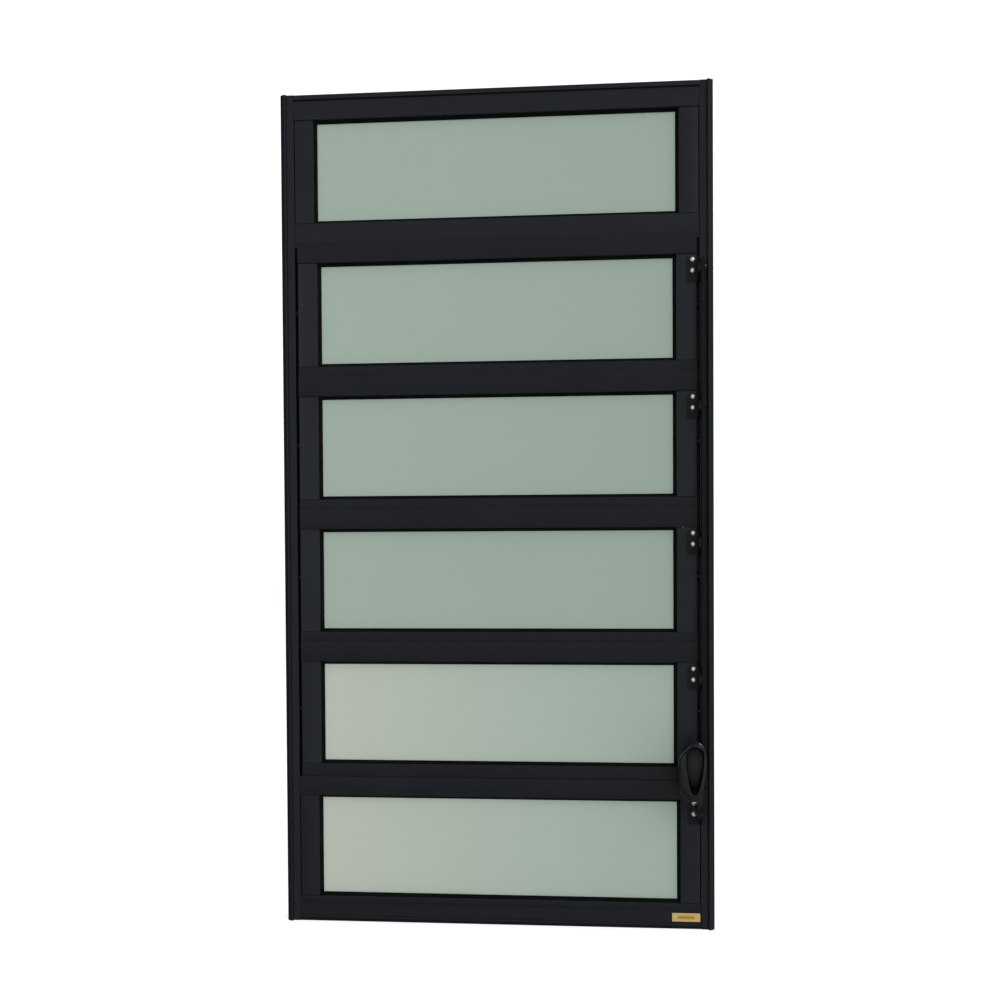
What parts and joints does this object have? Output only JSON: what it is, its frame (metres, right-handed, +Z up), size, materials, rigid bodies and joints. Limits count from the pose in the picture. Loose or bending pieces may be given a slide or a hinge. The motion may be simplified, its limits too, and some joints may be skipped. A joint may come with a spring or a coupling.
{
  "type": "pivot window with lever",
  "caption": "Black aluminium window with four coupled centre-pivot sashes between two fixed lights, opened by a lever and a connecting bar at the right jamb.",
  "frame": {"origin": "centre of the flat underside of the frame, where it sits on the wall opening's sill", "axes": "+Z up, the room side with the lever faces -Y, +X to the right as seen from the room"},
  "size_m": [0.53, 0.0957, 1.03],
  "materials": {
    "frame_aluminium": "satin black powder coat",
    "sash_aluminium": "satin black powder coat",
    "pane_glass": "pale green tint",
    "gasket_rubber": "matt black",
    "bracket_metal": "satin black",
    "bar_metal": "satin black",
    "lever_metal": "semi-gloss black casting",
    "rivet_metal": "bright",
    "pin_steel": "zinc plated",
    "label_foil": "gold foil, blank"
  },
  "bodies": {
    "window_frame": {"frame_head": "frame_aluminium", "frame_sill": "frame_aluminium", "frame_jamb_left": "frame_aluminium", "frame_jamb_right": "frame_aluminium", "transom_upper": "frame_aluminium", "transom_lower": "frame_aluminium", "upper_light_glass": "pane_glass", "upper_light_gasket": "gasket_rubber", "upper_light_stile_left": "frame_aluminium", "upper_light_stile_right": "frame_aluminium", "lower_light_glass": "pane_glass", "lower_light_gasket": "gasket_rubber", "lower_light_stile_left": "frame_aluminium", "lower_light_stile_right": "frame_aluminium", "label_plate": "label_foil", "lever_base": "bracket_metal", "lever_base_rivets": "rivet_metal", "lever_pivot_pin": "pin_steel", "sash_1_pivot_pin_left": "pin_steel", "sash_1_pivot_pin_right": "pin_steel", "sash_2_pivot_pin_left": "pin_steel", "sash_2_pivot_pin_right": "pin_steel", "sash_3_pivot_pin_left": "pin_steel", "sash_3_pivot_pin_right": "pin_steel", "sash_4_pivot_pin_left": "pin_steel", "sash_4_pivot_pin_right": "pin_steel"},
    "sash_1": {"sash_1_top_rail": "sash_aluminium", "sash_1_bottom_rail": "sash_aluminium", "sash_1_stile_left": "sash_aluminium", "sash_1_stile_right": "sash_aluminium", "sash_1_glass": "pane_glass", "sash_1_gasket": "gasket_rubber", "sash_1_bracket": "bracket_metal", "sash_1_bracket_rivets": "rivet_metal"},
    "sash_2": {"sash_2_top_rail": "sash_aluminium", "sash_2_bottom_rail": "sash_aluminium", "sash_2_stile_left": "sash_aluminium", "sash_2_stile_right": "sash_aluminium", "sash_2_glass": "pane_glass", "sash_2_gasket": "gasket_rubber", "sash_2_bracket": "bracket_metal", "sash_2_bracket_rivets": "rivet_metal"},
    "sash_3": {"sash_3_top_rail": "sash_aluminium", "sash_3_bottom_rail": "sash_aluminium", "sash_3_stile_left": "sash_aluminium", "sash_3_stile_right": "sash_aluminium", "sash_3_glass": "pane_glass", "sash_3_gasket": "gasket_rubber", "sash_3_bracket": "bracket_metal", "sash_3_bracket_rivets": "rivet_metal"},
    "sash_4": {"sash_4_top_rail": "sash_aluminium", "sash_4_bottom_rail": "sash_aluminium", "sash_4_stile_left": "sash_aluminium", "sash_4_stile_right": "sash_aluminium", "sash_4_glass": "pane_glass", "sash_4_gasket": "gasket_rubber", "sash_4_bracket": "bracket_metal", "sash_4_bracket_rivets": "rivet_metal"},
    "bar": {"connecting_bar": "bar_metal"},
    "lever": {"lever_handle": "lever_metal"}
  },
  "joints": [
    {"name": "sash_1_tilt", "type": "hinge", "parent": "window_frame", "child": "sash_1", "pos_m": [0, -0.016, 0.7468], "axis": [1, 0, 0], "range_deg": [0, 75]},
    {"name": "sash_2_tilt", "type": "hinge", "parent": "window_frame", "child": "sash_2", "pos_m": [0, -0.016, 0.5817], "axis": [1, 0, 0], "range_deg": [0, 75]},
    {"name": "sash_3_tilt", "type": "hinge", "parent": "window_frame", "child": "sash_3", "pos_m": [0, -0.016, 0.4166], "axis": [1, 0, 0], "range_deg": [0, 75]},
    {"name": "sash_4_tilt", "type": "hinge", "parent": "window_frame", "child": "sash_4", "pos_m": [0, -0.016, 0.2515], "axis": [1, 0, 0], "range_deg": [0, 75]},
    {"name": "bar_swing", "type": "hinge", "parent": "sash_1", "child": "bar", "pos_m": [0.2494, -0.036, 0.7878], "axis": [1, 0, 0], "range_deg": [-75, 0]},
    {"name": "lever_turn", "type": "hinge", "parent": "window_frame", "child": "lever", "pos_m": [0.2459, -0.036, 0.1285], "axis": [1, 0, 0], "range_deg": [0, 75]}
  ],
  "couplings": [
    {"joint": "sash_2_tilt", "follows": "sash_1_tilt", "ratio": 1},
    {"joint": "sash_3_tilt", "follows": "sash_1_tilt", "ratio": 1},
    {"joint": "sash_4_tilt", "follows": "sash_1_tilt", "ratio": 1},
    {"joint": "bar_swing", "follows": "sash_1_tilt", "ratio": -1},
    {"joint": "lever_turn", "follows": "sash_1_tilt", "ratio": 1}
  ]
}
